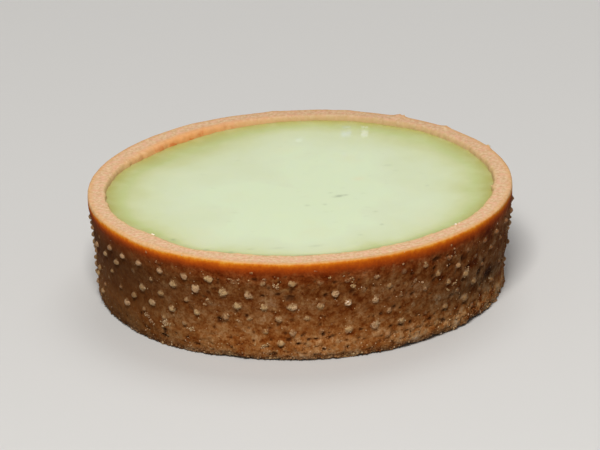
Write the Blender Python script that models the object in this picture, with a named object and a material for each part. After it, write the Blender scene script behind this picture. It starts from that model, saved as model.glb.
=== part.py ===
"""Pistachio tart, baked in a perforated ring: a pastry case and its set filling.

Metres, +Z up.  The origin is the centre of the underside, which lies in the
plane z = 0.  The front of the tart faces -Y.
"""
import bmesh
import bpy
import math

MM = 0.001

# ---- driving dimensions (millimetres) -------------------------------------
RIM_RADIUS = 40.0          # outer edge of the rim, set by the baking ring
HEIGHT = 20.0              # height of the baking ring
WALL = 3.7                 # width of the cut rim
FLOOR = 3.2                # thickness of the pastry under the filling
FILL_DROP = 0.95           # filling surface below the rim
MENISCUS = 0.25            # how far the filling climbs at the pastry
GAP = 0.3                  # clearance between the filling and the pastry

# ---- raised dots pressed by the holes of the baking ring ------------------
DOTS_PER_ROW = 47
DOT_ROWS = 6
DOT_FIRST_AZ = -85.4       # azimuth of one dot of the third row, degrees
DOT_BAND = (2.7, 16.9)     # the rows fill this band of heights
DOT_WIDTH = 1.45           # across the foot of a dot
DOT_RISE = 0.38            # how far a dot stands out of the wall

SEGMENTS = DOTS_PER_ROW * 2
STEP_AZ = 360.0 / SEGMENTS

# Outer profile from the underside to the rim.  The wall is upright low down
# and flares towards the rim, because the pastry shrinks away from the ring.
FOOT_HEIGHTS = (0.0, 0.45, 1.35)
FOOT_RADIUS = 36.75        # at the underside, before FOOT_SPREAD
WALL_LOW, WALL_HIGH, WALL_FLARE = 38.5, 39.75, 1.6
LIP = ((17.7, 39.93), (19.35, 40.0), (19.9, 39.78))

# Where the foot spreads further, nearly to the wall, or draws in: azimuth,
# half width, size.
FOOT_SPREAD = ((-165.0, 42.0, 1.0), (-128.0, 10.0, 0.7), (-57.0, 9.0, -0.6),
               (-8.0, 22.0, 1.15), (80.0, 60.0, 0.9))

# Chips broken from the foot of the wall: azimuth, half width, depth.
CHIPS = ((-34.0, 5.0, 1.0), (-58.0, 6.0, 0.45), (-12.0, 4.5, 0.6),
         (-97.0, 6.0, 0.4), (48.0, 5.0, 0.6), (121.0, 6.0, 0.5),
         (-151.0, 5.0, 0.3))

# Places where the pastry wall is thicker or thinner than WALL at the filling:
# azimuth, half width, change of the inner radius.
INNER_BULGES = ((133.0, 25.0, -1.4), (92.0, 15.0, -0.3), (-90.0, 45.0, -0.8),
                (58.0, 26.0, 0.5), (-125.0, 8.0, 0.7), (-141.0, 6.5, -0.4),
                (-165.0, 20.0, 0.35), (-20.0, 22.0, 0.3))


def clear_scene():
    for ob in list(bpy.data.objects):
        bpy.data.objects.remove(ob, do_unlink=True)


def angle_gap(a, b):
    return (a - b + 180.0) % 360.0 - 180.0


def bumps(az, table):
    """Sum of soft bumps round the tart, each (azimuth, half width, size)."""
    total = 0.0
    for centre, half, size in table:
        d = angle_gap(az, centre) / half
        total += size * math.exp(-d * d)
    return total


def waver(az, z):
    """Slow unevenness of the pastry wall, in millimetres."""
    a = math.radians(az)
    return (0.07 * math.sin(3 * a + 0.5 + z * 0.11)
            + 0.05 * math.sin(7 * a - 1.2 - z * 0.23)
            + 0.04 * math.sin(13 * a + 2.1 + z * 0.37))


def fade(z):
    """1 on the wall, 0 at the rim, which the ring holds true."""
    return max(0.0, min(1.0, (18.4 - z) / 4.0))


def ease(a, b, x):
    t = max(0.0, min(1.0, (x - a) / (b - a)))
    return t * t * (3.0 - 2.0 * t)


def lean(az, z):
    """The right side draws in low down, and the left stands nearly upright."""
    right = math.exp(-(angle_gap(az, 0.0) / 40.0) ** 2) * (1 - ease(5.5, 9.5, z))
    left = math.exp(-(angle_gap(az, -170.0) / 42.0) ** 2) * (1 - ease(4, 9, z))
    return -0.5 * right + 0.1 * left


def wall_radius(z):
    t = (z - DOT_BAND[0]) / (DOT_BAND[1] - DOT_BAND[0])
    return WALL_LOW + (WALL_HIGH - WALL_LOW) * t ** WALL_FLARE


def outer_radius(az, z, base):
    return base + lean(az, z) + waver(az, z) * fade(z)


def foot_radius(az, z):
    """From the underside up to the first row of dots."""
    top = outer_radius(az, DOT_BAND[0], WALL_LOW)
    foot = FOOT_RADIUS + bumps(az, FOOT_SPREAD)
    left = 1.0 - z / DOT_BAND[0]
    ragged = 0.5 * (1.0 + math.sin(math.radians(11 * az) + 0.7))
    ragged *= 0.2 + 0.25 * math.exp(-(angle_gap(az, -50.0) / 40.0) ** 2)
    return (top - max(0.0, top - foot) * left ** 4.0
            - left * (ragged + bumps(az, CHIPS)))


def inner_radius(az):
    a = math.radians(az)
    return (RIM_RADIUS - WALL + bumps(az, INNER_BULGES)
            + 0.06 * math.sin(9 * a + 0.4) + 0.05 * math.sin(17 * a - 0.9))


def new_material(name, colour, roughness):
    mat = bpy.data.materials.new(name)
    mat.use_nodes = True
    shader = mat.node_tree.nodes["Principled BSDF"]
    shader.inputs["Base Color"].default_value = (*colour, 1.0)
    shader.inputs["Roughness"].default_value = roughness
    shader.inputs["Metallic"].default_value = 0.0
    mat.diffuse_color = (*colour, 1.0)
    return mat


def azimuths():
    # Cell centres fall on DOT_FIRST_AZ, so cell corners lie half a step off.
    return [DOT_FIRST_AZ + (k - 0.5) * STEP_AZ for k in range(SEGMENTS)]


def place(vert, az, r, z):
    a = math.radians(az)
    vert.co = (r * math.cos(a) * MM, r * math.sin(a) * MM, z * MM)


def turned(stations):
    """Raise a closed turned body from rings.

    Each station is a function of azimuth that returns radius and height.
    Returns the bmesh and, for every band between two rings, its faces in
    order of azimuth.
    """
    bm = bmesh.new()
    azs = azimuths()
    r0, _ = stations[0](azs[0])
    made = bmesh.ops.create_circle(bm, cap_ends=False, segments=SEGMENTS,
                                   radius=r0 * MM)
    ring = list(made["verts"])
    ring.sort(key=lambda v: math.atan2(v.co.y, v.co.x))
    for v, az in zip(ring, azs):
        place(v, az, *stations[0](az))
    edges = list(bm.edges)
    bands = []
    first = list(edges)
    for station in stations[1:]:
        out = bmesh.ops.extrude_edge_only(bm, edges=edges)
        geom = out["geom"]
        new = [g for g in geom if isinstance(g, bmesh.types.BMVert)]
        faces = [g for g in geom if isinstance(g, bmesh.types.BMFace)]
        for v in new:
            az = math.degrees(math.atan2(v.co.y, v.co.x))
            near = min(azs, key=lambda c: abs(angle_gap(az, c)))
            place(v, near, *station(near))
        edges = [g for g in geom if isinstance(g, bmesh.types.BMEdge)
                 and all(v in new for v in g.verts)]
        faces.sort(key=lambda f: round(angle_gap(math.degrees(math.atan2(
            f.calc_center_median().y, f.calc_center_median().x)),
            DOT_FIRST_AZ) / STEP_AZ) % SEGMENTS)
        bands.append(faces)
    bmesh.ops.contextual_create(bm, geom=first)
    bmesh.ops.contextual_create(bm, geom=edges)
    bmesh.ops.recalc_face_normals(bm, faces=bm.faces)
    return bm, bands


def fixed(r, z):
    return lambda az: (r, z)


def raise_dot(bm, face, width, rise):
    """A blunt pimple in the middle of one cell of the wall."""
    side = math.sqrt(face.calc_area()) / MM
    bmesh.ops.inset_individual(bm, faces=[face],
                               thickness=(side - width) / 2 * MM,
                               use_even_offset=True)
    bmesh.ops.inset_individual(bm, faces=[face], thickness=width * 0.24 * MM,
                               depth=rise * MM, use_even_offset=True)


def finish(name, bm, mat, sharp=math.radians(35.0)):
    mesh = bpy.data.meshes.new(name)
    bm.to_mesh(mesh)
    bm.free()
    mesh.materials.append(mat)
    mesh.shade_smooth()
    mesh.set_sharp_from_angle(angle=sharp)
    ob = bpy.data.objects.new(name, mesh)
    bpy.context.scene.collection.objects.link(ob)
    return ob


def make_crust():
    low, high = DOT_BAND
    rows = []
    for i in range(DOT_ROWS + 1):
        z = low + (high - low) * i / DOT_ROWS
        rows.append(lambda az, z=z: (outer_radius(az, z, wall_radius(z)), z))

    stations = [lambda az, z=z: (foot_radius(az, z), z)
                for z in FOOT_HEIGHTS]
    stations += rows
    stations += [lambda az, z=z, b=b: (outer_radius(az, z, b), z)
                 for z, b in LIP]
    stations += [
        lambda az: (39.45, HEIGHT),
        lambda az: (inner_radius(az) + 0.8, HEIGHT),
        lambda az: (inner_radius(az) + 0.22, HEIGHT - 0.4),
        lambda az: (inner_radius(az), HEIGHT - FILL_DROP + 0.2),
        lambda az: (inner_radius(az) - 0.15, HEIGHT - FILL_DROP - 0.6),
        lambda az: (RIM_RADIUS - WALL - 1.2, FLOOR + 1.2),
        fixed(RIM_RADIUS - WALL - 2.4, FLOOR),
    ]
    bm, bands = turned(stations)

    first_row = len(FOOT_HEIGHTS)
    cells = []
    for i in range(DOT_ROWS):
        # Rows counted from the top: the third row holds DOT_FIRST_AZ.
        from_top = DOT_ROWS - 1 - i
        odd = from_top % 2
        for k, face in enumerate(bands[first_row + i]):
            if k % 2 == odd:
                cells.append((i, k, face))
    for i, k, face in cells:
        vary = math.sin(k * 2.399 + i * 1.7) * math.cos(k * 0.731 - i * 2.9)
        if vary < -0.82:
            continue
        raise_dot(bm, face, DOT_WIDTH * (1.0 + 0.16 * vary),
                  DOT_RISE * (0.85 + 0.3 * vary))

    mat = new_material("baked_pastry", (0.42, 0.2, 0.075), 0.8)
    return finish("crust", bm, mat)


def make_filling():
    top = HEIGHT - FILL_DROP
    stations = [
        fixed(RIM_RADIUS - WALL - 2.4 - GAP, FLOOR + GAP),
        lambda az: (RIM_RADIUS - WALL - 1.2 - GAP, FLOOR + 1.2 + GAP),
        lambda az: (inner_radius(az) - 0.15 - GAP * 1.1, top - 0.6),
        lambda az: (inner_radius(az) - GAP * 1.1, top + MENISCUS * 0.6),
        lambda az: (inner_radius(az) - GAP - 1.3, top + MENISCUS * 0.2),
        lambda az: (inner_radius(az) - GAP - 4.0, top),
    ]
    bm, _ = turned(stations)
    mat = new_material("pistachio_cream", (0.64, 0.72, 0.46), 0.28)
    return finish("filling", bm, mat)


def main():
    clear_scene()
    make_crust()
    make_filling()


main()
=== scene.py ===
import math

import bpy
import numpy as np
from mathutils import Matrix, Vector


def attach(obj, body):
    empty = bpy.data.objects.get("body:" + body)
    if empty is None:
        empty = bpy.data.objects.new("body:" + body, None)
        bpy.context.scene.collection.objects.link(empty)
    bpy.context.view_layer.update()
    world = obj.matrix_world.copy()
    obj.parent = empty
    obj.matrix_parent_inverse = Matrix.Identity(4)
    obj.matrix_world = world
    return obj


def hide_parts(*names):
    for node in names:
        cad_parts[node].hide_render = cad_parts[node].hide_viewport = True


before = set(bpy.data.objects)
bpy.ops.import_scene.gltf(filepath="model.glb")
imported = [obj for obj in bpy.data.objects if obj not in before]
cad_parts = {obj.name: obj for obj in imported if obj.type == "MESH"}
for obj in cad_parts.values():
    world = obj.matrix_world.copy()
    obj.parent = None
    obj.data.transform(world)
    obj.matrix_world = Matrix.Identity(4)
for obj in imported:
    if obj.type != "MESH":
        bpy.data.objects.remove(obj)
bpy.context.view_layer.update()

MM = 0.001

# ---------------------------------------------------------------------------
# Sizes, in millimetres, the same as the solids'
# ---------------------------------------------------------------------------
RIM_RADIUS, HEIGHT, WALL, FLOOR = 40.0, 20.0, 3.7, 3.2
FILL_DROP, MENISCUS = 0.95, 0.25
DOTS_PER_ROW, DOT_ROWS, DOT_FIRST_AZ = 47, 6, -85.4
DOT_BAND = (2.7, 16.9)
STEP_AZ = 360.0 / (2 * DOTS_PER_ROW)
WALL_LOW, WALL_HIGH, WALL_FLARE = 38.5, 39.75, 1.6
FOOT_RADIUS = 36.75
FOOT_SPREAD = ((-165.0, 42.0, 1.0), (-128.0, 10.0, 0.7), (-57.0, 9.0, -0.6),
               (-8.0, 22.0, 1.15), (80.0, 60.0, 0.9))
CHIPS = ((-34.0, 3.2, 1.0), (-59.5, 2.6, 0.8), (-49.0, 5.0, 0.6),
         (-12.0, 4.5, 0.4), (-111.0, 3.5, 0.45), (48.0, 5.0, 0.6),
         (121.0, 6.0, 0.5), (-151.0, 5.0, 0.1), (12.0, 3.0, 0.5))
INNER_BULGES = ((133.0, 25.0, -1.4), (-90.0, 45.0, -0.8), (58.0, 26.0, 0.5),
                (-125.0, 8.0, 0.7), (-141.0, 6.5, -0.4), (-165.0, 20.0, 0.35),
                (-20.0, 22.0, 0.3), (-5.4, 2.2, -0.3), (92.0, 15.0, -0.3))
# How much lower the pale rim runs over its outer edge: azimuth, half width,
# millimetres.
RIM_SHIFT = ((-170.0, 12.0, 0.6), (-137.0, 11.0, 0.3), (-74.0, 26.0, -0.25),
             (-22.0, 8.0, 0.2), (-6.0, 8.0, 0.6))
# Small swellings on the outer edge of the rim: azimuth, half width, height.
RIM_LUMPS = ((60.0, 1.7, 0.34), (44.0, 1.5, 0.24), (24.7, 1.3, 0.2),
             (75.7, 2.4, 0.12), (121.0, 3.0, 0.1), (97.0, 2.0, 0.1),
             (-4.0, 1.6, 0.08), (168.0, 2.0, 0.08))


# ---------------------------------------------------------------------------
# Noise
# ---------------------------------------------------------------------------
def _hash(ix, iy, iz, seed):
    h = (ix.astype(np.int64) * 374761393 + iy.astype(np.int64) * 668265263
         + iz.astype(np.int64) * 2147483647 + seed * 1274126177) & 0xFFFFFFFF
    h = ((h ^ (h >> 13)) * 1274126177) & 0xFFFFFFFF
    h = ((h ^ (h >> 16)) * 2246822519) & 0xFFFFFFFF
    return ((h ^ (h >> 15)) & 0xFFFFFF) / float(0xFFFFFF)


def vnoise(p, seed=0):
    """Smooth value noise in -1..1 on an (n, 3) array."""
    i = np.floor(p).astype(np.int64)
    f = p - i
    f = f * f * f * (f * (f * 6 - 15) + 10)
    out = np.zeros(len(p))
    for dx in (0, 1):
        wx = f[:, 0] if dx else 1 - f[:, 0]
        for dy in (0, 1):
            wy = f[:, 1] if dy else 1 - f[:, 1]
            for dz in (0, 1):
                wz = f[:, 2] if dz else 1 - f[:, 2]
                out += wx * wy * wz * _hash(i[:, 0] + dx, i[:, 1] + dy,
                                            i[:, 2] + dz, seed)
    return out * 2 - 1


def fbm(p, octaves=3, seed=0, gain=0.5):
    out, amp, tot, q = np.zeros(len(p)), 1.0, 0.0, p.copy()
    for o in range(octaves):
        out += amp * vnoise(q, seed + 17 * o)
        tot += amp
        amp *= gain
        q = q * 2.03 + 11.7
    return out / tot


def worley(p, seed=0):
    """Distance to the nearest jittered lattice point."""
    i = np.floor(p).astype(np.int64)
    best = np.full(len(p), 9.0)
    for dx in (-1, 0, 1):
        for dy in (-1, 0, 1):
            for dz in (-1, 0, 1):
                c = i + np.array([dx, dy, dz])
                q = np.stack([c[:, k] + _hash(c[:, 0], c[:, 1], c[:, 2],
                                              seed + 101 * k)
                              for k in range(3)], -1)
                best = np.minimum(best, ((p - q) ** 2).sum(1))
    return np.sqrt(best)


def smooth(a, b, x):
    t = np.clip((x - a) / (b - a), 0, 1)
    return t * t * (3 - 2 * t)


def gap(a, b):
    return (a - b + 180.0) % 360.0 - 180.0


def bumps(az, table):
    out = np.zeros_like(az)
    for c, h, s in table:
        out = out + s * np.exp(-(gap(az, c) / h) ** 2)
    return out


def ring_noise(az, period, seed):
    """Noise along the azimuth that closes on itself, period in degrees."""
    r = 57.3 / period
    a = np.radians(az)
    p = np.stack([r * np.cos(a) + 31.0, r * np.sin(a) + 57.0,
                  0 * a + 0.37 * seed], -1)
    return vnoise(p.reshape(-1, 3), seed).reshape(a.shape)


def waver(az, z):
    a = np.radians(az)
    return (0.07 * np.sin(3 * a + 0.5 + z * 0.11)
            + 0.05 * np.sin(7 * a - 1.2 - z * 0.23)
            + 0.04 * np.sin(13 * a + 2.1 + z * 0.37))


def inner_radius(az):
    a = np.radians(az)
    return (RIM_RADIUS - WALL + bumps(az, INNER_BULGES)
            + 0.06 * np.sin(9 * a + 0.4) + 0.05 * np.sin(17 * a - 0.9)
            + 0.10 * ring_noise(az, 2.6, 5) + 0.05 * ring_noise(az, 1.1, 6))


def base_radius(az, z):
    low, high = DOT_BAND
    t = np.clip((z - low) / (high - low), 0, 1)
    wall = WALL_LOW + (WALL_HIGH - WALL_LOW) * t ** WALL_FLARE
    lip = np.interp(z, [16.9, 17.7, 18.8, 19.35, 19.7, 19.88, 20.0],
                    [39.75, 39.93, 39.99, 40.0, 39.97, 39.88, 39.62])
    wall = np.where(z > high, lip, wall)
    fade = np.clip((18.4 - z) / 4.0, 0, 1)
    right = np.exp(-(gap(az, 0.0) / 40.0) ** 2) * (1 - smooth(5.5, 9.5, z))
    left = np.exp(-(gap(az, -170.0) / 42.0) ** 2) * (1 - smooth(4, 9, z))
    wall = wall - 0.5 * right + 0.1 * left + waver(az, z) * fade
    # the worn foot, rounded under
    foot = FOOT_RADIUS + bumps(az, FOOT_SPREAD)
    under = np.clip(1 - z / low, 0, 1)
    return wall - np.maximum(0.0, wall - foot) * under ** 4.0


# ---------------------------------------------------------------------------
# The dots stand on a staggered lattice.  Rows count from the top, and column 0
# is at DOT_FIRST_AZ for even rows and half a spacing further on for odd ones.
# Each pair below is (row, column).
# ---------------------------------------------------------------------------
LARGE = ((0, -4), (1, -6), (1, -5), (1, -4), (1, -3), (2, -7), (2, -3),
         (2, -1), (2, 6), (3, -7), (4, -8), (4, 2), (4, 6))
BRIGHT = ((2, 1),)
SMALL = ((0, -2), (0, 2), (0, 4), (0, 5), (0, 7), (1, -7), (1, 2), (1, 7),
         (1, 8), (2, -9), (2, -5), (2, 4), (2, 7), (3, -9), (3, -3), (3, -1),
         (3, 2), (3, 5), (3, 8), (4, -10), (4, -7), (4, -6), (4, -5), (4, -2),
         (4, 7), (5, 2))
FAINT = ((0, -10), (0, -3), (0, 0), (0, 1), (0, 3), (0, 6), (1, -8), (1, 1),
         (1, 3), (1, 6), (2, -10), (2, -4), (2, 3), (2, 8), (3, -10), (3, 3),
         (3, 4), (4, 0), (4, 4), (4, 9), (5, -1), (5, 0), (5, 3), (5, 6))
MISSING = ((1, -2), (1, -1), (2, -8), (2, 9), (3, 0), (3, 1), (3, 7), (3, 9),
           (4, -9), (4, -4), (4, -3), (5, -10), (5, -9), (5, -8), (5, -7),
           (5, -6), (5, -5), (5, -4), (5, -3), (5, 1), (5, 4), (5, 5), (5, 7),
           (5, 8), (5, 9))
SHOWN = range(-13, 10)          # columns that face the viewer

# Clumps of pale crumb between the dots: azimuth, height, half width, turn.
CLUMPS = ((-139.1, 4.9, 0.55, 20), (-137.0, 4.0, 0.6, -30), (-131.4, 4.6, 0.95, 0),
          (-122.4, 4.95, 0.6, 15), (-97.2, 15.5, 0.75, -38), (-76.6, 14.7, 0.7, -55),
          (-76.9, 16.4, 0.4, -30), (-79.1, 16.9, 0.25, 0), (-109.8, 16.5, 0.28, 0),
          (-107.4, 16.5, 0.28, 0), (-100.2, 16.95, 0.3, 0), (-101.0, 3.1, 0.5, 35),
          (-108.0, 8.0, 0.42, 0), (-111.0, 9.0, 0.35, -30), (-82.7, 17.0, 0.3, 20),
          (-62.3, 17.6, 0.3, 0), (-132.4, 17.2, 0.3, 60), (-135.9, 18.55, 0.22, 70),
          (-103.6, 18.15, 0.25, 0), (-56.0, 12.7, 0.3, 0), (-46.3, 9.1, 0.3, -30),
          (-44.2, 9.9, 0.4, 20), (-38.0, 11.3, 0.45, 30), (-55.3, 16.6, 0.32, 0),
          (-46.4, 18.3, 0.22, -60), (-45.4, 17.4, 0.2, -60), (-44.8, 16.6, 0.2, -70),
          (-116.9, 11.6, 0.3, 10), (-117.4, 10.5, 0.35, 0), (-86.6, 18.5, 0.2, 0))

# Open pits: azimuth, height, half width, half height, depth.
PITS = ((-51.3, 16.4, 1.15, 0.75, 0.6), (-40.6, 14.0, 0.9, 0.5, 0.45),
        (-37.8, 12.1, 0.9, 0.3, 0.4), (-59.3, 14.9, 0.4, 0.4, 0.45),
        (-81.4, 15.7, 0.35, 0.3, 0.45), (-101.0, 13.3, 0.5, 0.4, 0.5),
        (-96.8, 13.6, 0.55, 0.45, 0.6), (-93.8, 12.9, 0.9, 0.7, 0.5),
        (-93.2, 14.4, 0.7, 0.5, 0.28), (-76.6, 13.3, 0.7, 0.55, 0.45),
        (-68.4, 8.0, 0.4, 0.35, 0.45), (-62.6, 5.0, 0.7, 0.4, 0.5),
        (-65.6, 5.2, 0.35, 0.3, 0.4), (-113.5, 7.5, 0.75, 0.7, 0.42),
        (-108.7, 9.7, 0.7, 0.5, 0.35), (-97.4, 7.3, 0.4, 0.45, 0.42),
        (-93.2, 8.3, 0.45, 0.4, 0.35), (-94.3, 4.4, 0.5, 0.35, 0.45),
        (-95.0, 5.7, 0.4, 0.3, 0.4), (-91.8, 3.6, 0.45, 0.25, 0.45),
        (-86.9, 4.4, 0.4, 0.25, 0.42), (-82.2, 4.9, 0.6, 0.22, 0.4),
        (-74.3, 5.5, 0.55, 0.2, 0.4), (-96.8, 3.0, 0.65, 0.22, 0.45),
        (-132.2, 2.0, 1.0, 0.3, 0.55), (-121.2, 2.0, 0.7, 0.25, 0.5),
        (-139.5, 2.3, 0.8, 0.2, 0.25), (-47.0, 5.2, 0.8, 0.25, 0.4),
        (-59.2, 4.9, 0.4, 0.35, 0.4), (-25.4, 7.6, 2.2, 1.3, 0.55),
        (-32.0, 9.45, 0.9, 0.8, 0.5), (-30.2, 11.05, 1.0, 0.7, 0.45),
        (-51.8, 12.3, 0.6, 0.5, 0.4), (-44.5, 7.5, 0.8, 0.4, 0.35),
        (-38.5, 4.7, 0.7, 0.3, 0.35), (-58.8, 10.65, 0.6, 0.45, 0.4),
        (-40.0, 9.7, 0.7, 0.4, 0.3),
        (-116.4, 13.0, 0.4, 0.5, 0.3), (-90.2, 15.0, 0.3, 0.3, 0.3))


def dots():
    rng = np.random.default_rng(71)
    low, high = DOT_BAND
    pitch = (high - low) / DOT_ROWS
    out = []
    for row in range(DOT_ROWS):
        z0 = high - (row + 0.5) * pitch
        shift = 0.0 if row % 2 == 0 else STEP_AZ
        for k in range(DOTS_PER_ROW):
            col = k if k < 25 else k - DOTS_PER_ROW
            if col in SHOWN:
                code = (4 if (row, col) in LARGE else 5 if (row, col) in BRIGHT
                        else 2 if (row, col) in SMALL
                        else 1 if (row, col) in FAINT
                        else 0 if (row, col) in MISSING else 3)
            else:
                code = int(rng.choice([0, 1, 2, 3, 4],
                                      p=[.12, .2, .27, .3, .11]))
                if row == 5 and rng.uniform() < 0.5:
                    code = max(0, code - 2)
            az = DOT_FIRST_AZ + shift + col * 2 * STEP_AZ + rng.normal(0, 0.3)
            z = z0 + 0.08 + rng.normal(0, 0.1)
            # the rows sag a little towards the left, less at the right
            left = smooth(-112.0, -136.0, gap(az, 0.0)) * (gap(az, 0.0) < 0)
            right = smooth(-62.0, -38.0, gap(az, 0.0)) * (gap(az, 0.0) < 20)
            az += -0.8 * left * (row > 1) + 0.6 * right
            z += (0.22, 0.17, 0.1, -0.05, -0.36, -0.32)[row]
            z -= left * (0.5, 0.45, 0.6, 0.45, 0.18, 0.2)[row] + right * (
                0.3, 0.3, 0.25, 0.28, 0.1, 0.1)[row]
            size = (0, 0.5, 0.52, 0.66, 0.8, 0.66)[code] * rng.uniform(0.93, 1.07)
            rise = (0, 0.12, 0.26, 0.36, 0.42, 0.4)[code] * rng.uniform(0.85, 1.12)
            turn = rng.uniform(0, 2 * math.pi, 3)
            z += 0.3 * (code == 5 and row == 2)
            if code:
                out.append((az, z, size, rise, code, turn))
    return out


DOTS = dots()


def browning_and_side_shade(az, z):
    """How much lighter or darker the wall is than its bands say: uneven baking, and
    painted shade on the left and right flanks.
    """
    left = np.exp(-(gap(az, -152.0) / 34.0) ** 2)
    right = np.exp(-(gap(az, -30.0) / 30.0) ** 2)
    back = np.exp(-(gap(az, 80.0) / 70.0) ** 2)
    f = 1.0 + 0.05 * ring_noise(az, 30.0, 12)
    # the left flank: partly uneven baking, partly painted shade where the wall turns
    # away from the key light
    f = f + left * np.interp(
        z, [0, 3, 5, 7.5, 10.5, 13.5, 15.8, 17.6, 18.1, 18.8, 19.2, 19.6, 20],
        [-.52, -.56, -.43, -.5, -.44, -.5, -.3, -.14, .06, .25, .35, .33, .12])
    # the right flank: the same mix of uneven baking and painted shade
    f = f + right * np.interp(
        z, [0, 2.5, 4.5, 7.5, 10.5, 13, 17, 18.2, 18.8, 19.2, 19.6, 20],
        [-.02, .28, -.28, -.56, -.2, -.02, .04, -.04, .1, .2, .2, .05])
    return f - 0.14 * back * (1 - smooth(18.2, 19.9, z))


def calmness(az):
    """1 where the wall is smooth, at the left."""
    return np.exp(-(gap(az, -156.0) / 25.0) ** 2)


def softness(az):
    """1 where the dots are smooth knobs, at both sides."""
    return np.maximum(calmness(az), np.exp(-(gap(az, -20.0) / 32.0) ** 2))


# ---------------------------------------------------------------------------
# Meshes
# ---------------------------------------------------------------------------
def build(name, verts, quads, tris=None, attrs=None, smooth_faces=True):
    """Mesh from numpy arrays, in millimetres."""
    me = bpy.data.meshes.new(name)
    tris = np.zeros((0, 3), int) if tris is None else tris
    me.vertices.add(len(verts))
    me.vertices.foreach_set("co", (verts * MM).astype(np.float32).ravel())
    loops = np.concatenate([quads.ravel(), tris.ravel()]).astype(np.int32)
    me.loops.add(len(loops))
    me.loops.foreach_set("vertex_index", loops)
    starts = np.concatenate([np.arange(len(quads)) * 4,
                             len(quads) * 4 + np.arange(len(tris)) * 3])
    me.polygons.add(len(starts))
    me.polygons.foreach_set("loop_start", starts.astype(np.int32))
    me.update(calc_edges=True)
    me.validate()
    for key, val in (attrs or {}).items():
        a = me.attributes.new(key, "FLOAT", "POINT")
        a.data.foreach_set("value", val.astype(np.float32))
    if smooth_faces:
        me.shade_smooth()
    ob = bpy.data.objects.new(name, me)
    bpy.context.scene.collection.objects.link(ob)
    return ob


def lathe_faces(rows, n):
    """Quads for rows of n points, first row innermost underside."""
    k = np.arange(n)
    quads = []
    for r in range(rows - 1):
        a, b = r * n + k, r * n + (k + 1) % n
        quads.append(np.stack([a, b, b + n, a + n], -1))
    return np.concatenate(quads)


WALL_GRID = {}


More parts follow.
